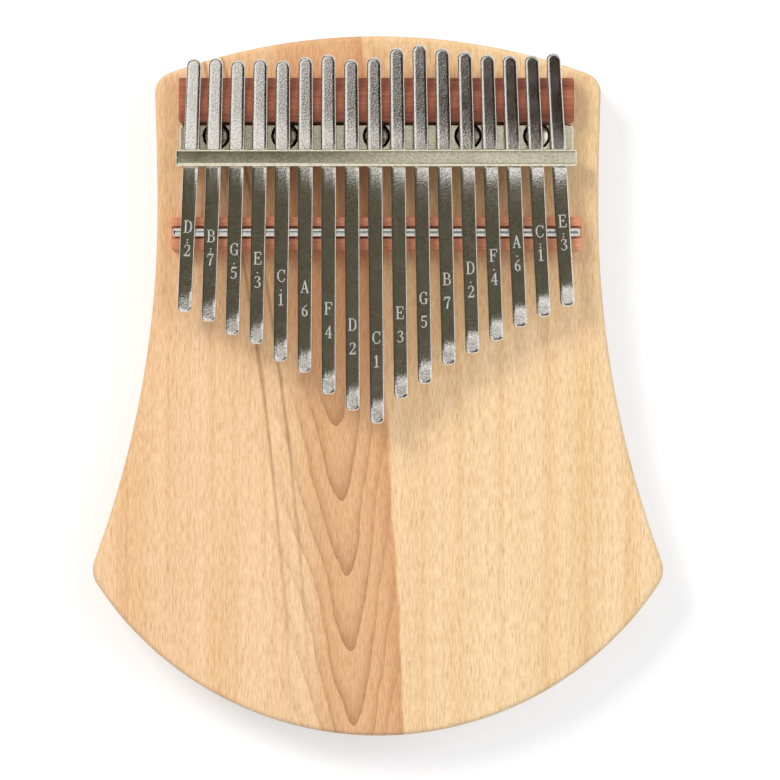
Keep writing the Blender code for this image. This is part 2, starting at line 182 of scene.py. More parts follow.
def surface(name: str, rings: np.ndarray, caps: Caps = Caps.POLE) -> Object:
    """A closed skin through a stack of closed rings.

    The vertex in row i and column j is rings[i, j]. Each row joins the next by quads that wrap round.

    Args:
        name: the object's name.
        rings: rows by points by 3, in metres, turning anticlockwise as seen from the last row's side.
        caps: how the ends are closed.

    Returns:
        The new object, with smooth shading.
    """
    rows, around, _ = rings.shape
    index = np.arange(rows * around).reshape(rows, around)
    following = np.roll(index, -1, axis=1)
    quads = np.stack([index[:-1], following[:-1], following[1:], index[1:]], axis=-1).reshape(-1, 4)
    points = rings.reshape(-1, 3)
    faces = quads.tolist()
    if caps is Caps.POLE:
        points = np.concatenate([points, np.stack([rings[0].mean(axis=0), rings[-1].mean(axis=0)])])
        first = np.full(around, rows * around)
        faces += np.stack([following[0], index[0], first], axis=-1).tolist()
        faces += np.stack([index[-1], following[-1], first + 1], axis=-1).tolist()
    elif caps is Caps.ZIP:
        near = np.arange(around // 2 - 1)
        zipped = np.stack([near, near + 1, around - 2 - near, around - 1 - near], axis=-1)
        faces += index[0][zipped[:, ::-1]].tolist() + index[-1][zipped].tolist()
    else:
        faces += [index[0][::-1].tolist(), index[-1].tolist()]
    piece = new_object(name, points, faces)
    piece.data.shade_smooth()
    piece.data.set_sharp_from_angle(angle=SHARP_ANGLE)
    return piece


def arc(
    centre: tuple[float, float] | np.ndarray, radius: float, start: float, end: float, count: int
) -> np.ndarray:
    """Points on an arc at even angles: the centre plus the radius times the cosine and sine.

    Args:
        centre: the arc's centre.
        radius: its radius.
        start: its first angle in radians.
        end: its last angle.
        count: how many points.

    Returns:
        The points, count by 2.
    """
    angle = np.linspace(start, end, count)
    return np.stack([centre[0] + radius * np.cos(angle), centre[1] + radius * np.sin(angle)], axis=1)


def normals_of(outline: np.ndarray) -> np.ndarray:
    """The outward normals of an outline: the chord between a point's neighbours, turned clockwise.

    Args:
        outline: a closed outline that turns anticlockwise, count by 2.

    Returns:
        A unit normal for each point.
    """
    chord = np.roll(outline, -1, axis=0) - np.roll(outline, 1, axis=0)
    chord /= np.linalg.norm(chord, axis=1, keepdims=True)
    return np.stack([chord[:, 1], -chord[:, 0]], axis=1)


def even_outline(outline: np.ndarray, count: int) -> np.ndarray:
    """A closed outline walked in equal steps, by linear interpolation along its length.

    Args:
        outline: the outline, without its first point again at its end.
        count: how many steps.

    Returns:
        The points, count by 2.
    """
    closed = np.concatenate([outline, outline[:1]])
    reach = np.concatenate([[0.0], np.cumsum(np.linalg.norm(np.diff(closed, axis=0), axis=1))])
    steps = np.linspace(0.0, reach[-1], count, endpoint=False)
    return np.stack([np.interp(steps, reach, closed[:, 0]), np.interp(steps, reach, closed[:, 1])], axis=1)


def rounding(radius: float, rows: int) -> tuple[np.ndarray, np.ndarray]:
    """A rounded edge as a quarter circle, from the end face to the full size.

    With t from 0 to a quarter turn, the skin is radius (1 - cos t) from the end, and drawn in by
    radius (1 - sin t).

    Args:
        radius: the edge's radius.
        rows: how many steps.

    Returns:
        The distance from the end and the distance drawn in, row by row.
    """
    turn = np.linspace(0.0, QUARTER, rows)
    return radius * (1 - np.cos(turn)), radius * (1 - np.sin(turn))


def carried(section: np.ndarray, low: float, high: float, radius: float, rows: int) -> np.ndarray:
    """One section carried along X, with both ends rounded by shrinking it about its own middle.

    Args:
        section: the closed section in Y and Z.
        low: the lower end on X.
        high: the upper end.
        radius: the radius of the rounded ends.
        rows: how many rings each end has.

    Returns:
        Rings for surface.
    """
    place, drawn = rounding(radius, rows)
    x = np.concatenate([low + place, high - place[::-1]])
    inset = np.concatenate([drawn, drawn[::-1]])
    centre = (section.min(axis=0) + section.max(axis=0)) / 2
    size = section.max(axis=0) - section.min(axis=0)
    scale = 1 - 2 * inset[:, None] / size
    flat = centre + (section - centre) * scale[:, None, :]
    return np.concatenate([np.broadcast_to(x[:, None, None], (*flat.shape[:2], 1)), flat], axis=2)


class Grain(Enum):
    """Which way a wood's fibres run."""

    LENGTHWISE = "along Y"
    CROSSWISE = "along X"


@dataclass(frozen=True)
class Figure:
    """Nested growth rings beside the board's middle, with an orange rim and two dark veins.

    With a the distance from the rings' leaning middle line, the rings are the level lines of
    y - depth a^2 / (1 + (a / flat)^2), so they nest and open towards the tines. Each darkens slowly
    from its inner side and stops sharply at its outer one, most at its tip. A vein lies at
    x = start - y (slant + curve y). All lengths are in millimetres, and a fade holds the two places
    at which it gives nothing and all.
    """

    middle: float = -12.8
    lean: float = -0.0675
    wander: float = 5.0
    wander_reach: float = 30.0
    unrest: float = 1.6
    depth: float = 0.7
    flat: float = 12.0
    pitch: float = 21.0
    start: float = 53.2
    sharpness: float = 3.5
    right_fade: tuple[float, float] = (15.09, 14.18)
    left_fade: tuple[float, float] = (-24.55, -15.45)
    heart_fade: tuple[float, float] = (-13.33, -6.67)
    rim_fade: tuple[float, float] = (9.5, 14.5)
    ring_fade: tuple[float, float] = (3.75, -8.75)
    vein_fade: tuple[float, float] = (-100.0, -9.09)
    heart: tuple[float, str] = (0.75, "DDAA7C")
    rim: tuple[float, str] = (0.5, "CF8E5C")
    ring: tuple[float, str] = (0.68, "9C6540")
    vein: tuple[float, str] = (0.55, "83502F")
    vein_starts: tuple[float, ...] = (-32.4, -27.0)
    vein_slant: float = 0.135
    vein_curve: float = 0.0005
    vein_unrest: float = 1.2
    vein_half: float = 0.77
    tint_width: float = 120.0
    tint: tuple[tuple[float, str], ...] = ((0.1, "F9E4D2"), (0.75, "FBEEDA"))

    def paint(self, tree: NodeTree, coordinates: Feed, streaks: Feed, colour: Feed) -> Feed:
        """Tints the left side warmer and paints the rings, the rim and the veins over the colour.

        The middle lines are set back by half of each noise, which is about its mean.

        Args:
            tree: the node tree.
            coordinates: the object's coordinates.
            streaks: fine streaks that unsettle the lines.
            colour: the colour so far.

        Returns:
            The new colour.
        """
        split = add_node(tree, "SeparateXYZ", None, coordinates)
        x, y = (add_node(tree, "Math", TIMES, split.outputs[axis], 1 / MM) for axis in (0, 1))
        scale = 1 / (self.wander_reach * MM)
        wander = add_node(tree, "TexNoise", None, coordinates, Scale=scale, Detail=2.0)
        aside = add_node(tree, "Math", TIMES_PLUS, y, -self.lean, x)
        aside = add_node(tree, "Math", TIMES_PLUS, wander, self.wander, aside)
        aside = add_node(tree, "Math", TIMES_PLUS, streaks, self.unrest, aside)
        aside = add_node(tree, "Math", LESS, aside, self.middle + (self.wander + self.unrest) / 2)
        fades = (self.right_fade, self.left_fade, self.heart_fade, self.rim_fade)
        right, left, heart, rim = (add_node(tree, "MapRange", None, aside, *fade) for fade in fades)
        inside = add_node(tree, "Math", TIMES, right, left)
        rim = add_node(tree, "Math", TIMES, rim, inside)

        square = add_node(tree, "Math", TIMES, aside, aside)
        spread = add_node(tree, "Math", TIMES_PLUS, square, 1 / self.flat**2, 1.0)
        rise = add_node(tree, "Math", OVER, square, spread)
        level = add_node(tree, "Math", TIMES_PLUS, rise, -self.depth, y)
        ring = add_node(tree, "Math", TIMES_PLUS, level, -1 / self.pitch, -self.start / self.pitch)
        ring = add_node(tree, "Math", PART_OF_ONE, ring)
        ring = add_node(tree, "Math", POWER, ring, self.sharpness)
        ring = add_node(tree, "Math", OVER, ring, spread)
        below = add_node(tree, "MapRange", None, y, *self.ring_fade)
        ring = add_node(tree, "Math", TIMES, ring, below)
        layers = [(heart, inside, self.heart), (rim, inside, self.rim), (ring, inside, self.ring)]

        bend = add_node(tree, "Math", TIMES_PLUS, y, self.vein_curve, self.vein_slant)
        bend = add_node(tree, "Math", TIMES_PLUS, bend, y, x)
        bend = add_node(tree, "Math", TIMES_PLUS, streaks, self.vein_unrest, bend)
        fade = add_node(tree, "MapRange", None, y, *self.vein_fade)
        for start in self.vein_starts:
            off = add_node(tree, "Math", LESS, bend, start + self.vein_unrest / 2)
            off = add_node(tree, "Math", WITHOUT_SIGN, off)
            vein = add_node(tree, "MapRange", None, off, self.vein_half, 0.0)
            layers.append((vein, fade, self.vein))

        side = add_node(tree, "Math", TIMES_PLUS, x, 1 / self.tint_width, 0.5)
        shade = add_node(tree, "ValToRGB", {"stops": self.tint}, side)
        tinted = add_node(tree, "Mix", TINT, Factor_Float=1.0, A_Color=colour, B_Color=shade)
        colour = tinted.outputs[COLOUR_RESULT]
        for mask, limit, (strength, code) in layers:
            share = add_node(tree, "Math", TIMES, mask, limit)
            share = add_node(tree, "Math", TIMES, share, strength)
            painted = add_node(tree, "Mix", BLEND, Factor_Float=share, A_Color=colour, B_Color=code)
            colour = painted.outputs[COLOUR_RESULT]
        return colour


@dataclass(frozen=True)
class WoodFinish:
    """A sanded and oiled hardwood with open pores, which gives a soft sheen and short dark flecks.

    Widths are in millimetres across the grain, and a length says how many times longer a mark is.
    """

    name: str
    dark: str
    middle: str
    light: str
    pore: str
    grain: Grain
    band: float
    figure: Figure | None = None
    band_length: float = 42.0
    streak_share: float = 0.16
    streak_mix: float = 0.4
    tones: tuple[float, float, float] = (0.3, 0.5, 0.68)
    fibre_width: float = 0.45
    fibre_length: float = 7.0
    fibre_shade: tuple[tuple[float, str], ...] = ((0.36, "EFE7DC"), (0.6, "FFFFFF"))
    pore_width: float = 0.35
    pore_length: float = 14.0
    pore_range: tuple[float, float] = (0.6222, 0.7333)
    pore_strength: float = 0.4
    relief: float = 0.25
    relief_depth: float = 0.08
    roughness: float = 0.52
    roughness_change: float = 0.12
    ior: float = 1.5

    def noise(self, tree: NodeTree, coordinates: Feed, width: float, length: float, detail: float) -> Feed:
        """Noise drawn out along the grain.

        Args:
            tree: the node tree.
            coordinates: the object's coordinates.
            width: a mark's width across the grain in millimetres.
            length: how many times longer it is.
            detail: the noise's octaves.

        Returns:
            The noise, from 0 to 1.
        """
        along = (1.0, 1 / length, 1.0) if self.grain is Grain.LENGTHWISE else (1 / length, 1.0, 1.0)
        space = add_node(tree, "Mapping", None, coordinates, Scale=along)
        return add_node(tree, "TexNoise", None, space, Scale=1 / (width * MM), Detail=detail)

    def make(self) -> Material:
        """Broad bands across the grain, finer streaks, fibres, and pores stretched along the grain.

        Returns:
            The material.
        """
        material, tree, shader = new_material(self.name)
        space = add_node(tree, "TexCoord").outputs["Object"]
        bands = self.noise(tree, space, self.band, self.band_length, 3.0)
        streaks = self.noise(tree, space, self.streak_share * self.band, self.band_length, 4.0)
        tone = add_node(tree, "Math", TIMES, bands, 1 - self.streak_mix)
        tone = add_node(tree, "Math", TIMES_PLUS, streaks, self.streak_mix, tone)
        stops = tuple(zip(self.tones, (self.dark, self.middle, self.light)))
        colour = add_node(tree, "ValToRGB", {"stops": stops}, tone)
        if self.figure:
            colour = self.figure.paint(tree, space, streaks, colour)

        fibres = self.noise(tree, space, self.fibre_width, self.fibre_length, 3.0)
        shade = add_node(tree, "ValToRGB", {"stops": self.fibre_shade}, fibres)
        shaded = add_node(tree, "Mix", TINT, Factor_Float=1.0, A_Color=colour, B_Color=shade)
        pores = self.noise(tree, space, self.pore_width, self.pore_length, 1.0)
        holes = add_node(tree, "MapRange", None, pores, *self.pore_range)
        faint = add_node(tree, "Math", TIMES, holes, self.pore_strength)
        colour = shaded.outputs[COLOUR_RESULT]
        flecked = add_node(tree, "Mix", BLEND, Factor_Float=faint, A_Color=colour, B_Color=self.pore)

        height = add_node(tree, "Math", TIMES, fibres, 0.5)
        height = add_node(tree, "Math", LESS, height, holes)
        depth = self.relief_depth * MM
        bump = add_node(tree, "Bump", None, Strength=self.relief, Distance=depth, Height=height)
        change = self.roughness_change
        rough = add_node(tree, "Math", TIMES_PLUS, streaks, change, self.roughness - change / 2)
        colour = flecked.outputs[COLOUR_RESULT]
        feed(shader, {"Base Color": colour, "Roughness": rough, "Normal": bump, "IOR": self.ior})
        return material


@dataclass(frozen=True)
class PlatedFinish:
    """Nickel plate over steel, polished by tumbling, which leaves a mirror with fine speckle.

    The real specks are under 0.1 mm wide. They are drawn several times coarser, or they wouldn't show.
    """

    name: str
    colour: str
    pit: str
    roughness: float
    speck_mm: float
    speckle: float
    speck_depth: float = 0.1
    cloud_mm: float = 4.0
    roughness_change: float = 0.12
    pit_range: tuple[float, float] = (0.34, 0.6)

    def make(self) -> Material:
        """A metal whose bump and colour vary in small specks, and its roughness in wide clouds.

        Returns:
            The material.
        """
        material, tree, shader = new_material(self.name)
        space = add_node(tree, "TexCoord").outputs["Object"]
        specks = add_node(tree, "TexNoise", None, space, Scale=1 / (self.speck_mm * MM), Detail=2.0)
        clouds = add_node(tree, "TexNoise", None, space, Scale=1 / (self.cloud_mm * MM), Detail=3.0)
        depth = self.speck_depth * MM
        bump = add_node(tree, "Bump", None, Strength=self.speckle, Distance=depth, Height=specks)
        change = self.roughness_change
        rough = add_node(tree, "Math", TIMES_PLUS, clouds, change, self.roughness - change / 2)
        stops = tuple(zip(self.pit_range, (self.pit, self.colour)))
        colour = add_node(tree, "ValToRGB", {"stops": stops}, specks)
        feed(shader, {"Base Color": colour, "Metallic": 1.0, "Roughness": rough, "Normal": bump})
        return material


@dataclass(frozen=True)
class EtchedFinish:
    """Laser-etched plate, which scatters light and so looks pale and matt beside the mirror."""

    name: str
    colour: str
    pit: str
    dot_mm: float = 0.12
    pit_range: tuple[float, float] = (0.35, 0.6)
    metallic: float = 0.2
    roughness: float = 0.7

    def make(self) -> Material:
        """A pale rough metal with a fine dotted grain.

        Returns:
            The material.
        """
        material, tree, shader = new_material(self.name)
        space = add_node(tree, "TexCoord").outputs["Object"]
        dots = add_node(tree, "TexNoise", None, space, Scale=1 / (self.dot_mm * MM))
        stops = tuple(zip(self.pit_range, (self.pit, self.colour)))
        tone = add_node(tree, "ValToRGB", {"stops": stops}, dots)
        feed(shader, {"Base Color": tone, "Metallic": self.metallic, "Roughness": self.roughness})
        return material


# A pale hardwood, planed and oiled: honey-coloured, with faint bands and a warm figure
BOARD_WOOD = WoodFinish(
    "board_wood_oiled", "E9CCA3", "F6E2C1", "FDEDD3", "B5824F", Grain.LENGTHWISE, 9.0, Figure()
)
# Two red hardwoods sawn across to strips: fine stripes along each strip, the front one paler
BACK_WOOD = WoodFinish("back_bridge_redwood", "84442F", "A8644A", "BD795C", "5A2418", Grain.CROSSWISE, 3.0)
FRONT_WOOD = WoodFinish(
    "front_bridge_rosewood", "C47A58", "DA946F", "E4A480", "9A4C33", Grain.CROSSWISE, 3.0
)
# Nickel on spring steel: a clear mirror that glitters. On the cast bracket it is yellower and smoother
TINE_PLATE = PlatedFinish("tine_nickel_speckled", "EFEBE4", "D2CDC4", 0.12, 0.45, 0.13)
BRACKET_PLATE = PlatedFinish("bracket_nickel_cast", "E6DFC6", "D4CDB4", 0.18, 0.7, 0.06)
# Nickel on turned heads, softened by handling, and bare drawn steel: both blur what they mirror
SCREW_PLATE = PlatedFinish("screw_nickel_bright", "F2F0EA", "E6E4DE", 0.27, 0.7, 0.04)
ROD_PLATE = PlatedFinish("rod_steel_drawn", "D8D5D0", "C4C1BC", 0.2, 0.6, 0.05)
ETCHED = EtchedFinish("note_marks_etched", "D6D3CB", "ABA9A1")

# The marks' strokes: each is its width in millimetres, and then the points of its middle line across
# and up, in hundredths of the mark's box
THICK, THIN = 0.42, 0.22
GLYPHS: dict[str, tuple[tuple[float, ...], ...]] = {
    "A": (
        (THIN, 8, 0, 50, 100), (THICK, 48, 100, 86, 0), (THIN, 20, 34, 72, 34),
        (THIN, 0, 2, 24, 2), (THIN, 68, 2, 100, 2),
    ),
    "B": (
        (THICK, 20, 0, 20, 100), (THIN, 0, 100, 60, 100, 80, 88), (THICK, 80, 88, 80, 66),
        (THIN, 80, 64, 60, 53, 20, 53), (THIN, 60, 53, 88, 42), (THICK, 88, 42, 88, 14),
        (THIN, 88, 12, 64, 0, 0, 0),
    ),
    "C": (
        (THIN, 94, 98, 92, 70), (THIN, 92, 72, 80, 94, 55, 100, 30, 93, 14, 76),
        (THICK, 13, 78, 8, 50, 13, 24), (THIN, 14, 26, 30, 6, 56, 0, 82, 6, 96, 26),
    ),
    "D": (
        (THICK, 20, 0, 20, 100), (THIN, 0, 100, 50, 100, 78, 88),
        (THICK, 78, 90, 92, 66, 92, 34, 78, 10), (THIN, 78, 12, 50, 0, 0, 0),
    ),
    "E": (
        (THICK, 20, 0, 20, 100), (THIN, 0, 100, 88, 100, 90, 78), (THIN, 20, 52, 66, 52),
        (THIN, 66, 64, 66, 40), (THIN, 0, 0, 90, 0, 96, 26),
    ),
    "F": (
        (THICK, 20, 0, 20, 100), (THIN, 0, 100, 90, 100, 92, 76), (THIN, 20, 52, 66, 52),
        (THIN, 66, 64, 66, 40), (THIN, 0, 0, 44, 0),
    ),
    "G": (
        (THIN, 90, 98, 88, 72), (THIN, 88, 74, 76, 95, 52, 100, 28, 93, 13, 76),
        (THICK, 12, 78, 7, 50, 12, 24), (THIN, 13, 26, 28, 6, 54, 0, 84, 10),
        (THICK, 84, 4, 84, 40), (THIN, 60, 42, 100, 42),
    ),
    "1": ((THICK, 50, 0, 50, 100), (THIN, 24, 84, 50, 98), (THIN, 22, 0, 80, 0)),
    "2": (
        (THIN, 16, 76, 28, 94, 50, 100, 72, 94), (THICK, 74, 92, 82, 74, 74, 56),
        (THIN, 74, 56, 46, 30, 16, 3), (THICK, 14, 4, 84, 4), (THIN, 86, 2, 90, 24),
    ),
    "3": (
        (THIN, 18, 80, 30, 95, 50, 100, 70, 93), (THICK, 74, 92, 76, 70), (THIN, 74, 66, 46, 54, 76, 44),
        (THICK, 82, 42, 82, 16), (THIN, 80, 14, 60, 1, 34, 1, 14, 14),
    ),
    "4": ((THICK, 66, 0, 66, 100), (THIN, 62, 98, 10, 32, 94, 32), (THIN, 44, 0, 88, 0)),
    "5": (
        (THICK, 28, 97, 82, 97), (THIN, 26, 100, 22, 56, 50, 62, 74, 52),
        (THICK, 76, 52, 82, 32, 74, 12), (THIN, 74, 12, 52, 0, 30, 2, 14, 14),
    ),
    "6": (
        (THIN, 78, 98, 50, 86, 28, 64), (THICK, 26, 66, 19, 38, 27, 13), (THIN, 26, 12, 50, 0, 72, 10),
        (THICK, 76, 12, 80, 32, 72, 50), (THIN, 72, 50, 50, 58, 26, 46),
    ),
    "7": ((THICK, 14, 96, 86, 96), (THIN, 14, 100, 12, 74), (THIN, 86, 94, 54, 48), (THICK, 56, 50, 44, 0)),
}


class Part:
    """What every sub-assembly does with its pieces."""

    def dress(self, piece: Object, slot: str, body: str, nodes: tuple[str, ...], finish: Material) -> None:
        """Gives a piece its material and its body, and hides the nodes that it stands for.

        Args:
            piece: the piece.
            slot: the record's material slot; not used.
            body: the body that it rides on.
            nodes: the nodes that it replaces.
            finish: the material.
        """
        piece.data.materials.clear()
        piece.data.materials.append(finish)
        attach(piece, body)
        if nodes:
            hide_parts(*nodes)
        log.info("made %s on %s", piece.name, body)


@dataclass
class Board(Part):
    """The flat board, whose outline is a chain of arcs."""

    top_radius: float = 171.0 * MM
    bottom_radius: float = 94.2 * MM
    waist_width: float = 123.6 * MM
    waist_from_top: float = 48.8 * MM
    side_radius: float = 800.0 * MM
    flare_radius: float = 281.0 * MM
    top_corner: float = 6.0 * MM
    bottom_corner: float = 7.5 * MM
    edge: float = 1.5 * MM
    around: int = 720
    arc_points: int = 90
    edge_rows: int = 7
    face_rows: int = 12
    face_shares: tuple[float, float] = (0.98, 0.02)

    def corner_centre(
        self, end: np.ndarray, end_radius: float, side: np.ndarray, side_radius: float, upper: bool
    ) -> np.ndarray:
        """Where two circles cross: the foot on the line of centres, plus or minus the height over it.

        Args:
            end: the centre of the end's circle.
            end_radius: its radius.
            side: the centre of the side's circle.
            side_radius: its radius.
            upper: whether the upper crossing is meant.

        Returns:
            The crossing.
        """
        across = side - end
        distance = np.linalg.norm(across)
        along = (distance**2 + end_radius**2 - side_radius**2) / (2 * distance)
        unit = across / distance
        aside = math.sqrt(end_radius**2 - along**2) * np.array([-unit[1], unit[0]])
        points = sorted([end + unit * along + aside, end + unit * along - aside], key=lambda point: point[1])
        return points[int(upper)]

    def outline(self) -> np.ndarray:
        """The edge as arcs that run into each other: top, corner, side, flare, corner and bottom.

        Returns:
            Points at equal steps, anticlockwise.
        """
        low, high = box_of("board")
        half = (high[1] - low[1]) / 2
        waist = half - self.waist_from_top
        top = np.array([0.0, half - self.top_radius])
        bottom = np.array([0.0, self.bottom_radius - half])
        side = np.array([self.waist_width / 2 + self.side_radius, waist])
        flare = np.array([self.waist_width / 2 + self.flare_radius, waist])
        reach = (self.top_radius - self.top_corner, self.side_radius + self.top_corner)
        upper = self.corner_centre(top, reach[0], side, reach[1], True)
        reach = (self.bottom_radius - self.bottom_corner, self.flare_radius + self.bottom_corner)
        lower = self.corner_centre(bottom, reach[0], flare, reach[1], False)

        def heading(start: np.ndarray, end: np.ndarray) -> float:
            """The angle from one point to another."""
            return math.atan2(end[1] - start[1], end[0] - start[0])

        arcs = (
            (top, self.top_radius, QUARTER, heading(top, upper)),
            (upper, self.top_corner, heading(top, upper), heading(upper, side)),
            (side, self.side_radius, heading(upper, side) + math.pi, math.pi),
            (flare, self.flare_radius, math.pi, heading(lower, flare) + math.pi),
            (lower, self.bottom_corner, heading(lower, flare), heading(bottom, lower)),
            (bottom, self.bottom_radius, heading(bottom, lower), -QUARTER),
        )
        right = np.concatenate([arc(place, *turn, self.arc_points) for place, *turn in arcs])[::-1]
        left = right[::-1] * (-1.0, 1.0)
        return even_outline(np.concatenate([right, left[1:-1]]), self.around)

    def build(self) -> None:
        """The skin: rings that grow from the middle of the back, round the edge and shrink over the face."""
        outline = self.outline()
        inward = -normals_of(outline)
        (_, _, bottom), (_, _, top) = box_of("board")
        from_end, drawn = rounding(self.edge, self.edge_rows)
        inset = np.concatenate([drawn, from_end])
        height = np.concatenate([bottom + from_end, top - drawn])
        edge_rings = outline + inward * inset[:, None, None]
        shrink = np.linspace(*self.face_shares, self.face_rows)[:, None, None]
        rim = outline + inward * self.edge
        flat = np.concatenate([rim * shrink[::-1], edge_rings, rim * shrink])
        heights = np.concatenate([np.full(self.face_rows, bottom), height, np.full(self.face_rows, top)])
        levels = np.broadcast_to(heights[:, None, None], (len(flat), self.around, 1))
        piece = surface("board_body", np.concatenate([flat, levels], axis=2))
        self.dress(piece, "board_wood", BODY, ("board",), BOARD_WOOD.make())


@dataclass
class Bridges(Part):
    """The crowned strip under the tails, and the grooved block that carries the rod."""

    crown_radius: float = 14.0 * MM
    crown_points: int = 24
    groove_gap: float = 0.3 * MM
    groove_points: int = 20
    soft: float = 0.5 * MM
    soft_rows: int = 5
    seat: float = 0.3 * MM
    back_points: int = 160
    front_points: int = 240

    def build(self) -> None:
        """Both bridges, each one section carried along X."""
        low, high = box_of("back_bridge")
        middle = (low[1] + high[1]) / 2
        half = (high[1] - low[1]) / 2
        lean = math.asin(half / self.crown_radius)
        peak = (middle, high[2] - self.crown_radius)
        crown = arc(peak, self.crown_radius, QUARTER - lean, QUARTER + lean, self.crown_points)
        foot = low[2] - self.seat
        section = np.concatenate([[(middle - half, foot), (middle + half, foot)], crown])
        rings = carried(even_outline(section, self.back_points), low[0], high[0], self.soft, self.soft_rows)
        piece = surface("back_bridge_strip", rings, Caps.FACE)
        self.dress(piece, "back_bridge_wood", BODY, ("back_bridge",), BACK_WOOD.make())

        low, high = box_of("front_rod")
        _, rod_y, rod_z = (low + high) / 2
        groove = (high[2] - low[2]) / 2 + self.groove_gap
        low, high = box_of("front_bridge")
        foot = low[2] - self.seat
        dip = arc((rod_y, rod_z), groove, 0.0, -math.pi, self.groove_points)
        before = [(low[1], foot), (high[1], foot), (high[1], high[2]), (rod_y + groove, high[2])]
        section = np.concatenate([before, dip, [(rod_y - groove, high[2]), (low[1], high[2])]])
        rings = carried(even_outline(section, self.front_points), low[0], high[0], self.soft, self.soft_rows)
        piece = surface("front_bridge_block", rings, Caps.FACE)
        self.dress(piece, "front_bridge_wood", BODY, ("front_bridge",), FRONT_WOOD.make())


@dataclass
class Rod(Part):
    """The steel rod in the groove."""

    end_round: float = 0.8 * MM
    end_rows: int = 8
    around: int = 48

    def build(self) -> None:
        """Circles along X whose radius falls along a quarter circle at both ends."""
        low, high = box_of("front_rod")
        centre = (low + high) / 2
        place, drawn = rounding(self.end_round, self.end_rows)
        x = np.concatenate([low[0] + place, high[0] - place[::-1]])
        size = (high[2] - low[2]) / 2 - np.concatenate([drawn, drawn[::-1]])
        angle = np.linspace(0.0, math.tau, self.around, endpoint=False)
        y = centre[1] + size[:, None] * np.cos(angle)
        z = centre[2] + size[:, None] * np.sin(angle)
        rings = np.stack([np.broadcast_to(x[:, None], y.shape), y, z], axis=2)
        self.dress(surface("front_rod_bar", rings), "rod_steel", BODY, ("front_rod",), ROD_PLATE.make())


@dataclass
class Bracket(Part):
    """The cast bracket, whose solid stays under a finer bar, and its screws."""

    bar_depth: float = 4.6 * MM
    bar_height: float = 2.6 * MM
    front_bevel: float = 0.6 * MM
    bevel_drop: float = 0.48 * MM
    back_round: float = 0.7 * MM
    dome: float = 0.012 * MM
    lean: float = 0.04 * MM
    proud: float = 0.03 * MM
    end_round: float = 0.6 * MM
    end_rows: int = 6
    crown_points: int = 14
    corner_points: int = 10
    screws: int = 5
    head_top: float = 21.3 * MM
    rise: float = 1.0 * MM
    sink: float = 2.0 * MM
    tip: float = 1.4 * MM
    recess_half: float = 1.6 * MM
    recess_depth: float = 0.9 * MM
    recess_wall: float = 0.12 * MM
    recess_end: float = 0.25 * MM
    recess_taper: float = 0.35
    recess_margin: float = 0.1 * MM
    recess_rows: int = 34
    rim_rows: int = 12
    hub: float = 0.05 * MM
    lip: float = 0.05 * MM
    slot_half: float = 0.4 * MM
    turn: float = math.radians(17.0)
    around: int = 128

    def build(self) -> None:
        """The bracket's own solid with its finish, the bar over it and the screws."""
        plate = BRACKET_PLATE.make()
        solid = bpy.data.objects["clamp_bracket"]
        solid.data.materials.clear()
        solid.data.materials.append(plate)
        log.info("finished %s", solid.name)
        self.bar(plate)
        bright = SCREW_PLATE.make()
        for number in range(1, self.screws + 1):
            self.screw(number, bright)

    def bar(self, plate: Material) -> None:
        """The bar's section carried along X: a bevel in front, a shallow crown and a rounded back edge.

        The crown's height is the top, plus 4 dome s (1 - s), less lean s, with s from 0 in front to 1.

        Args:
            plate: the bar's finish.
        """
        (left, near, _), (right, _, peak) = box_of("clamp_bracket")
        low, high = near - self.proud, near + self.bar_depth + self.proud
        top = peak + self.proud - self.dome
        foot = peak - self.bar_height
        front, back = low + self.front_bevel, high - self.back_round
        share = np.linspace(0.0, 1.0, self.crown_points)
        crown_z = top + self.dome * 4 * share * (1 - share) - self.lean * share
        crown = np.stack([front + (back - front) * share, crown_z], axis=1)
        centre = (back, top - self.lean - self.back_round)
        corner = arc(centre, self.back_round, QUARTER, 0.0, self.corner_points)
        sides = [(high, foot), (low, foot), (low, top - self.bevel_drop)]
        section = np.concatenate([crown, corner[1:], sides])[::-1]
        rings = carried(section, left - self.proud, right + self.proud, self.end_round, self.end_rows)
        self.dress(surface("bracket_bar_crown", rings, Caps.FACE), "bracket_nickel", BODY, (), plate)

    def screw(self, number: int, bright: Material) -> None:
        """An oval head, a cross recess and a cone that sinks into the flange.

        The head's height is a shallow dome over the radius. Where the distance to either arm of the
        cross is under half the slot's width, and the radius under the recess's reach, the surface
        drops by the recess's depth, less the further out it is.

        Args:
            number: which screw, from the left.
            bright: the head's finish.
        """
        node = f"bracket_screw_{number}"
        low, high = box_of(node)
        x, y, _ = (low + high) / 2
        head = (high[0] - low[0]) / 2
        inner = np.linspace(self.hub, self.recess_half + self.recess_margin, self.recess_rows)
        outer = np.linspace(self.recess_half + 2 * self.recess_margin, head, self.rim_rows)
        radius = np.concatenate([inner, outer])
        angle = np.linspace(0.0, math.tau, self.around, endpoint=False)
        reach, around = np.meshgrid(radius, angle, indexing="ij")
        sphere = (head**2 + self.rise**2) / (2 * self.rise)
        height = self.head_top - sphere + np.sqrt(sphere**2 - reach**2)
        turned = around - self.turn * number
        across = np.minimum(np.abs(reach * np.sin(turned)), np.abs(reach * np.cos(turned)))
        inside = np.clip((self.slot_half - across) / self.recess_wall, 0.0, 1.0)
        inside *= np.clip((self.recess_half - reach) / self.recess_end, 0.0, 1.0)
        height -= inside * self.recess_depth * (1 - self.recess_taper * reach / self.recess_half)
        rim = self.head_top - self.rise
        sizes = np.concatenate([[self.tip, head], radius[::-1]])
        levels = rim - np.broadcast_to([[self.sink], [self.lip]], (2, self.around))
        rings = np.stack(
            [
                x + sizes[:, None] * np.cos(angle),
                y + sizes[:, None] * np.sin(angle),
                np.concatenate([levels, height[::-1]]),
            ],
            axis=2,
        )
        piece = surface(f"bracket_screw_head_{number}", rings)
        self.dress(piece, "screw_nickel", BODY, (node,), bright)


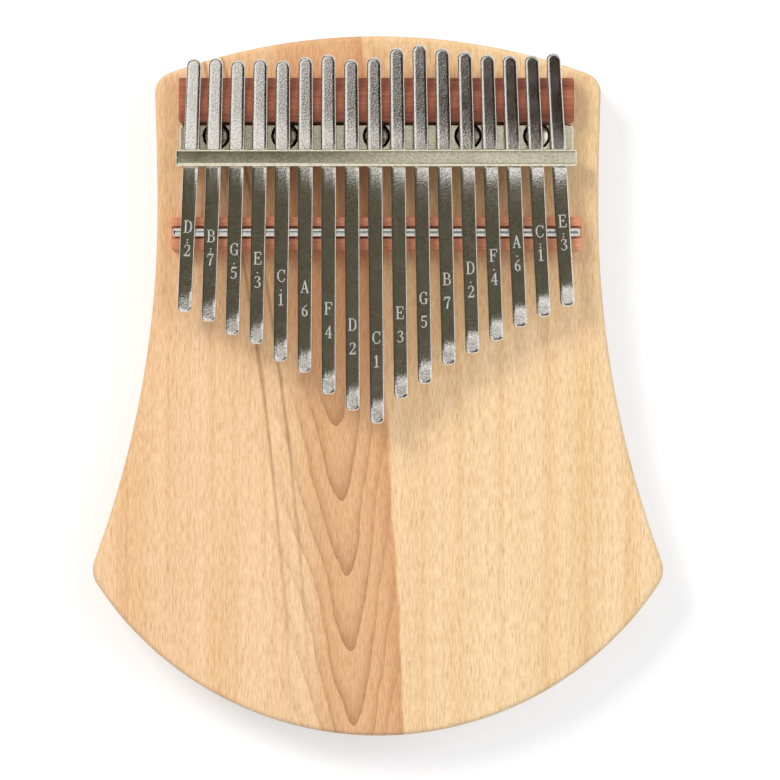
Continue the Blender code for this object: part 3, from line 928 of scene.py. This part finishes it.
@dataclass
class Tine(Part):
    """One spring-steel tongue: its place, lean and lengths, and the marks etched on it."""

    number: int
    playing: float
    tail: float
    letter: str
    dots: int
    x: float
    lean: float
    thickness: float = 1.1 * MM
    nip_width: float = 4.3 * MM
    end_width: float = 4.0 * MM
    tip_corner: float = 1.5 * MM
    rod_y: float = 42.8 * MM
    seat: float = 26.0 * MM
    nip: float = 20.6 * MM
    overhang: float = 16.35 * MM
    bow: float = 1.3 * MM
    droop: float = math.radians(5.0)
    bent: float = 7.5 * MM
    edge: float = 0.42 * MM
    edge_rows: int = 5
    face_shares: tuple[float, ...] = (0.35, 0.7, 0.97)
    corner_points: int = 14
    side_points: int = 150
    end_points: int = 18
    tail_turn: float = QUARTER - 0.02
    middle_gap: float = 0.05 * MM
    letter_up: float = 23.8 * MM
    digit_up: float = 17.2 * MM
    digit_size: float = 0.95
    mark_size: tuple[float, float] = (2.15 * MM, 3.3 * MM)
    dots_up: float = 19.75 * MM
    dot_pitch: float = 0.78 * MM
    dot_radius: float = 0.25 * MM
    mark_over: float = 0.012 * MM

    def half_width(self, y: np.ndarray) -> np.ndarray:
        """Half the width at distances from the rod: widest at the nip and straight to both ends."""
        far = np.where(y < self.nip, self.nip + self.playing, self.tail - self.nip)
        return 0.5 * (self.nip_width + (self.end_width - self.nip_width) * np.abs(y - self.nip) / far)

    def lift(self, y: np.ndarray) -> np.ndarray:
        """The underside's height over the rod's top.

        A straight bar held down between two supports bends as a cubic on each side of the load, and
        runs straight on past the supports. The last bit of the tip turns down over its first half.

        Args:
            y: distance from the rod towards the tail.

        Returns:
            The height at each y.
        """
        near, far, bow = self.nip, self.overhang, self.bow
        span = near + far
        rest = span - y
        playing = -bow * (span + far) / (2 * near * far) * y
        first = -bow * y * (span**2 - far**2 - y**2) / (2 * near**2 * far)
        second = -bow * rest * (span**2 - near**2 - rest**2) / (2 * far**2 * near)
        tail = bow * (span + near) / (2 * near * far) * (y - span)
        height = np.select([y <= 0, y <= near, y <= span], [playing, first, second], tail)
        turn = np.clip(-self.playing + self.bent - y, 0.0, None)
        half = self.bent / 2
        return height - math.tan(self.droop) * np.where(turn < half, turn**2 / (2 * half), turn - half / 2)

    def place(self, u: np.ndarray, y: np.ndarray, over: np.ndarray) -> np.ndarray:
        """Puts local points in the shared frame.

        Args:
            u: distance to the right of the middle line.
            y: distance from the rod towards the tail.
            over: distance out of the underside, along its normal.

        Returns:
            The points, with the last axis for x, y and z.
        """
        step = 0.05 * MM
        slope = np.arctan2(self.lift(y + step) - self.lift(y - step), 2 * step)
        y_bent = y - over * np.sin(slope)
        z = self.seat + self.lift(y) + over * np.cos(slope)
        cos, sin = math.cos(self.lean), math.sin(self.lean)
        return np.stack([self.x + u * cos - y_bent * sin, self.rod_y + u * sin + y_bent * cos, z], axis=-1)

    def half_outline(self) -> np.ndarray:
        """The right half of the plan from tip to tail: a corner arc, a straight side and a quarter circle.

        Both ends stop a little before the middle line, where the other half begins.

        Returns:
            The points, count by 2.
        """
        end, round_ = self.end_width / 2, self.tip_corner
        base = np.array([self.middle_gap, 0.5 * (end - round_)])
        base = np.stack([base, np.full(2, -self.playing)], axis=1)
        low = arc((end - round_, round_ - self.playing), round_, -QUARTER, 0.0, self.corner_points)
        y = np.linspace(round_ - self.playing, self.tail - end, self.side_points)[1:-1]
        side = np.stack([self.half_width(y), y], axis=1)
        high = arc((0.0, self.tail - end), end, 0.0, self.tail_turn, self.end_points)
        return np.concatenate([base, low, side, high])

    def build(self, plate: Material, etched: Material) -> None:
        """The tongue, with rings that cross the back, round the edge and cross the top.

        Args:
            plate: the tongue's finish.
            etched: the marks' finish.
        """
        right = self.half_outline()
        outline = np.concatenate([right, right[::-1] * np.array([-1.0, 1.0])])
        inward = -normals_of(outline)
        from_end, drawn = rounding(self.edge, self.edge_rows)
        inset = np.concatenate([drawn, from_end])
        over = np.concatenate([from_end, self.thickness - drawn])
        edge_rings = outline + inward * inset[:, None, None]
        end = self.end_width / 2
        spine = np.clip(outline[:, 1], end - self.playing, self.tail - end)
        middle = np.stack([np.zeros(len(outline)), spine], axis=1)
        share = np.array(self.face_shares)[:, None, None]
        face = edge_rings[0] * (1 - share) + middle * share
        flat = np.concatenate([face[::-1], edge_rings, face])
        heights = np.concatenate([np.zeros(len(face)), over, np.full(len(face), self.thickness)])
        levels = np.broadcast_to(heights[:, None], flat.shape[:2])
        name = f"tine_{self.number:02d}"
        piece = surface(f"{name}_tongue", self.place(flat[..., 0], flat[..., 1], levels), Caps.ZIP)
        self.dress(piece, "tine_steel", name, (name,), plate)
        self.mark(etched)

    def mark(self, etched: Material) -> None:
        """The note letter over its number, with dots for the octave, flat on the top face.

        A stroke is a rectangle about its middle line, drawn out at both ends by a quarter of its
        width. A dot is a square on its corner.

        Args:
            etched: the marks' finish.
        """
        digit = str("CDEFGAB".index(self.letter) + 1)
        strokes = []
        for glyph, up, size in ((self.letter, self.letter_up, 1.0), (digit, self.digit_up, self.digit_size)):
            for width, *line in GLYPHS[glyph]:
                points = (np.array(line).reshape(-1, 2) / 100 - 0.5) * self.mark_size * size + (0.0, up)
                half = np.full(len(points) - 1, width * MM / 2)
                strokes.append(np.column_stack([points[:-1], points[1:], half]))
        start, stop, half = np.split(np.concatenate(strokes), [2, 4], axis=1)
        step = (stop - start) / np.linalg.norm(stop - start, axis=1, keepdims=True) * half
        aside = np.stack([-step[:, 1], step[:, 0]], axis=1)
        start, stop = start - step / 2, stop + step / 2
        quads = np.stack([start - aside, stop - aside, stop + aside, start + aside], axis=1)
        ups = self.dots_up + (np.arange(self.dots) - (self.dots - 1) / 2) * self.dot_pitch
        dots = [arc((0.0, up), self.dot_radius, 0.0, 3 * QUARTER, 4) for up in ups]
        flat = np.concatenate([quads.reshape(-1, 2), *dots])
        over = np.full(len(flat), self.thickness + self.mark_over)
        points = self.place(flat[:, 0], flat[:, 1] - self.playing, over)
        name = f"tine_{self.number:02d}"
        piece = new_object(f"{name}_marks", points, np.arange(len(flat)).reshape(-1, 4).tolist())
        self.dress(piece, "tine_steel", name, (), etched)


@dataclass
class Keyboard:
    """All the tines, longest in the middle, fanned out from the clamp.

    The lengths are each tine's playing part and tail from the rod, in millimetres. The lean is in
    degrees, with a share that grows with the tine's place and one that grows with the cube of it.
    """

    pitch: float = 6.53 * MM
    middle: float = -0.65 * MM
    lean: tuple[float, float, float] = (0.50, 0.217, 0.002)
    lengths: tuple[tuple[float, float], ...] = (
        (22.4, 48.3), (25.0, 48.5), (28.7, 47.8), (31.2, 48.2), (36.1, 47.8), (39.2, 48.7),
        (45.2, 49.5), (49.7, 48.1), (53.3, 48.7), (46.4, 51.3), (42.3, 52.2), (37.0, 51.2),
        (33.9, 50.3), (30.4, 49.5), (26.6, 49.3), (23.7, 49.3), (20.8, 49.9),
    )
    letters: str = "DBGECAFDCEGBDFACE"
    octaves: tuple[int, ...] = (2, 2, 1, 1, 1, 0, 0, 0, 0, 0, 0, 0, 1, 1, 1, 2, 2)

    def build(self) -> None:
        """Each tine in its place, counted from the middle one."""
        plate, etched = TINE_PLATE.make(), ETCHED.make()
        for index, (playing, tail) in enumerate(self.lengths):
            place = index - len(self.lengths) // 2
            lean = math.radians(self.lean[0] + self.lean[1] * place + self.lean[2] * place**3)
            x = self.middle + self.pitch * place
            letter, dots = self.letters[index], self.octaves[index]
            Tine(index + 1, playing * MM, tail * MM, letter, dots, x, lean).build(plate, etched)


@dataclass(frozen=True)
class Card:
    """A flat glowing card over the object, which only mirrors see."""

    name: str
    colour: str
    outline: tuple[tuple[float, float], ...]
    height: float | tuple[float, ...] = 2.4

    def hang(self) -> None:
        """Makes the card and hides it from the camera, from soft light and from shadows."""
        count = len(self.outline)
        corners = np.column_stack([self.outline, np.broadcast_to(self.height, count)])
        card = new_object(self.name, corners, [list(range(count))])
        material, _, shader = new_material(self.name)
        feed(shader, {"Base Color": "000000", "Specular IOR Level": 0.0})
        feed(shader, {"Emission Color": self.colour, "Emission Strength": 1.0})
        card.data.materials.append(material)
        card.visible_camera = False
        card.visible_diffuse = False
        card.visible_shadow = False


@dataclass(frozen=True)
class Lamp:
    """A square lamp aimed at the middle of the object, which mirrors don't see."""

    name: str
    place: Point
    size: float
    power: float
    colour: str

    def hang(self) -> None:
        """Makes the lamp and turns it: down by the polar angle of its aim, and round by its heading."""
        data = bpy.data.lights.new(self.name, "AREA")
        data.size = self.size
        data.energy = self.power
        data.color = linear(self.colour)[:3]
        lamp = bpy.data.objects.new(self.name, data)
        bpy.context.scene.collection.objects.link(lamp)
        lamp.location = self.place
        aim = -np.array(self.place) / np.linalg.norm(self.place)
        lamp.rotation_euler = (math.acos(-aim[2]), 0.0, math.atan2(aim[1], aim[0]) - QUARTER)
        lamp.visible_glossy = False


@dataclass
class Studio:
    """A white floor, soft lamps, cards for the metal to mirror, and the camera.

    The first card gives the playing parts their olive tone, the next two shade the tails on the
    right, and the last two the tips and the tines' left edges.
    """

    middle: tuple[float, float] = (3.388 * MM, -1.148 * MM)
    height: float = 1518 * MM
    lens: float = 247.25
    floor_reach: float = 2.0
    floor_base: tuple[float, float, float, float] = (0.62, 0.62, 0.62, 1.0)
    floor_glow: float = 0.42
    soft_light: tuple[str, float] = ("F4F6FA", 0.62)
    lamps: tuple[Lamp, ...] = (
        Lamp("key", (-0.9, 0.9, 1.4), 0.7, 20.0, "FFF6EA"),
        Lamp("fill", (1.0, 0.2, 1.2), 1.0, 8.0, "EEF3FF"),
    )
    cards: tuple[Card, ...] = (
        Card(
            "playing_card",
            "5A5748",
            ((-2.0, 0.1), (-0.09, 0.1), (0.0, 0.34), (2.0, 0.34), (2.0, 1.2), (-2.0, 1.2)),
        ),
        Card(
            "tail_card",
            "33261E",
            ((-0.02, -0.27), (-0.02, -1.1), (2.0, -1.1), (2.0, -0.06), (0.14, -0.06)),
        ),
        Card("tail_grey_card", "6C6761", ((-0.14, -0.35), (-0.14, -1.1), (-0.02, -1.1), (-0.02, -0.27))),
        Card("tip_card", "77776C", ((-0.05, -0.08), (0.4, -0.08), (0.4, 0.09), (-0.05, 0.09)), 2.41),
        Card(
            "left_card",
            "24241C",
            ((-2.4, -2.0), (-2.4, 2.0), (-1.2, 2.0), (-1.2, -2.0)),
            (0.3, 0.3, 2.3, 2.3),
        ),
    )

    def world(self) -> None:
        """White to the camera and to mirrors, and softer to everything else."""
        world = bpy.data.worlds.new("studio")
        bpy.context.scene.world = world
        world.use_nodes = True
        tree = world.node_tree
        tree.nodes.clear()
        rays = add_node(tree, "LightPath").outputs
        seen = add_node(tree, "Math", MOST, rays["Is Camera Ray"], rays["Is Transmission Ray"])
        seen = add_node(tree, "Math", MOST, seen, rays["Is Glossy Ray"])
        soft = add_node(tree, "Background", None, *self.soft_light)
        white = add_node(tree, "Background", None, "FFFFFF", 1.0)
        add_node(tree, "OutputWorld", None, add_node(tree, "MixShader", None, seen, soft, white))

    def floor(self) -> None:
        """A white sheet under the board that keeps its shadow."""
        square = np.array([(-1.0, -1.0, 0.0), (1.0, -1.0, 0.0), (1.0, 1.0, 0.0), (-1.0, 1.0, 0.0)])
        sheet = new_object("floor", self.floor_reach * square, [[0, 1, 2, 3]])
        material, _, shader = new_material("floor")
        feed(shader, {"Base Color": self.floor_base, "Roughness": 1.0, "Specular IOR Level": 0.0})
        feed(shader, {"Emission Color": "FFFFFF", "Emission Strength": self.floor_glow})
        sheet.data.materials.append(material)
        sheet.visible_diffuse = False
        sheet.visible_glossy = False

    def camera(self) -> None:
        """A long lens that looks straight down, at the photograph's framing."""
        data = bpy.data.cameras.new("camera")
        data.lens = self.lens
        data.sensor_width = 36.0
        data.clip_end = 20.0
        camera = bpy.data.objects.new("camera", data)
        bpy.context.scene.collection.objects.link(camera)
        camera.location = (*self.middle, self.height)
        bpy.context.scene.camera = camera

    def build(self) -> None:
        """Floor, world, lamps, cards, colour handling and camera."""
        self.floor()
        self.world()
        for thing in (*self.lamps, *self.cards):
            thing.hang()
        bpy.context.scene.view_settings.view_transform = "Standard"
        self.camera()


def main() -> None:
    """Builds and dresses every part, then the studio."""
    logging.basicConfig(level=logging.INFO)
    for part in (Board(), Bridges(), Rod(), Bracket(), Keyboard(), Studio()):
        part.build()


if __name__ == "__main__":
    main()
